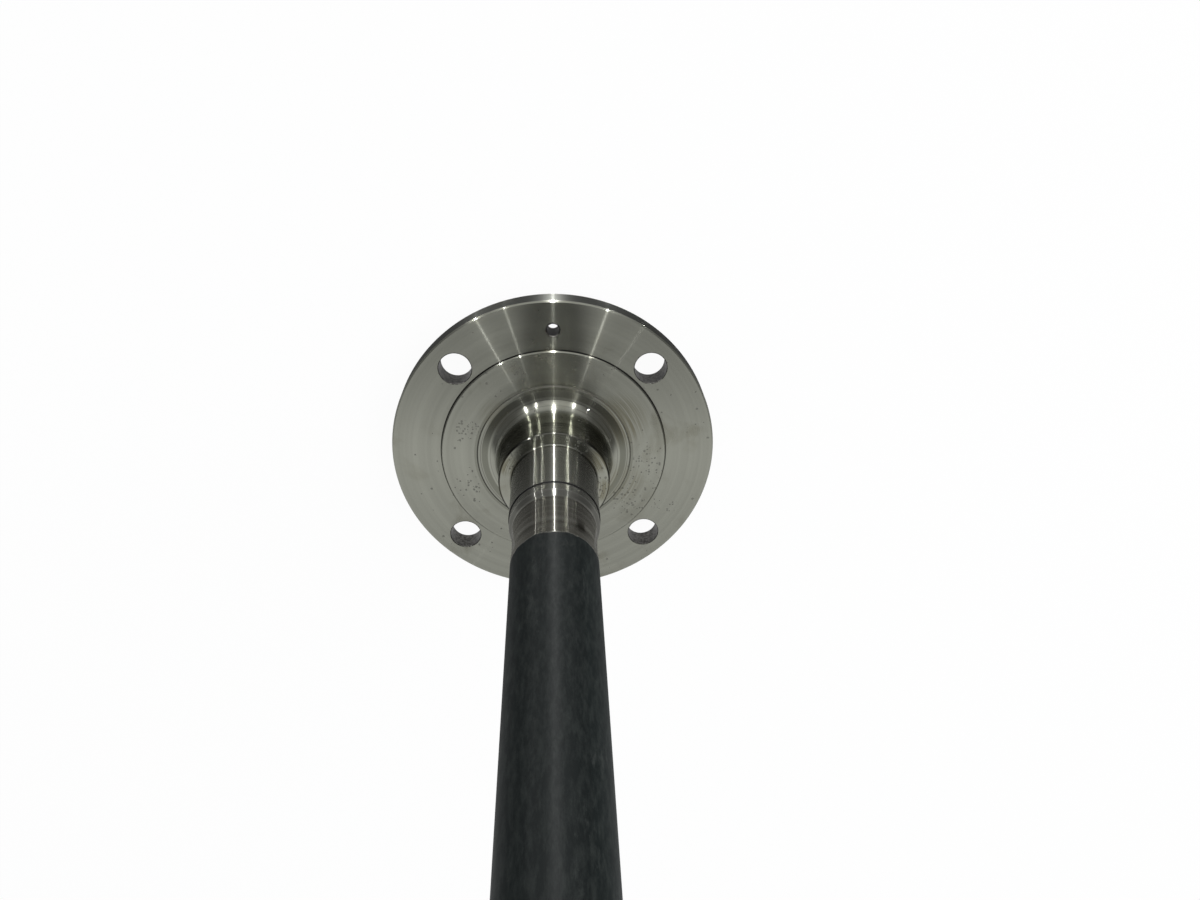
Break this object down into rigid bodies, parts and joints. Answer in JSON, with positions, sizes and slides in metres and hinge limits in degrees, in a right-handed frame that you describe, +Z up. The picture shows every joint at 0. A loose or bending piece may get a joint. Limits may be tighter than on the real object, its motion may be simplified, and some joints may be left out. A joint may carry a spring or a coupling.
{
  "type": "rear axle half shaft",
  "caption": "Forged half shaft with a bolted wheel flange, a centring pilot, a ground bearing seat with its collar and a splined inner end.",
  "frame": {"origin": "centre of the pilot's end face, on which the shaft stands", "axes": "+Z up the shaft's axis from the wheel flange to the spline tip; +Y towards the small locating hole"},
  "size_m": [0.1389, 0.139, 0.62],
  "materials": {
    "forged_steel": "turned and ground steel on the flange, seat and spline, dark forging scale on the shaft"
  },
  "bodies": {
    "root": {"axle_shaft": "forged_steel"}
  },
  "joints": []
}
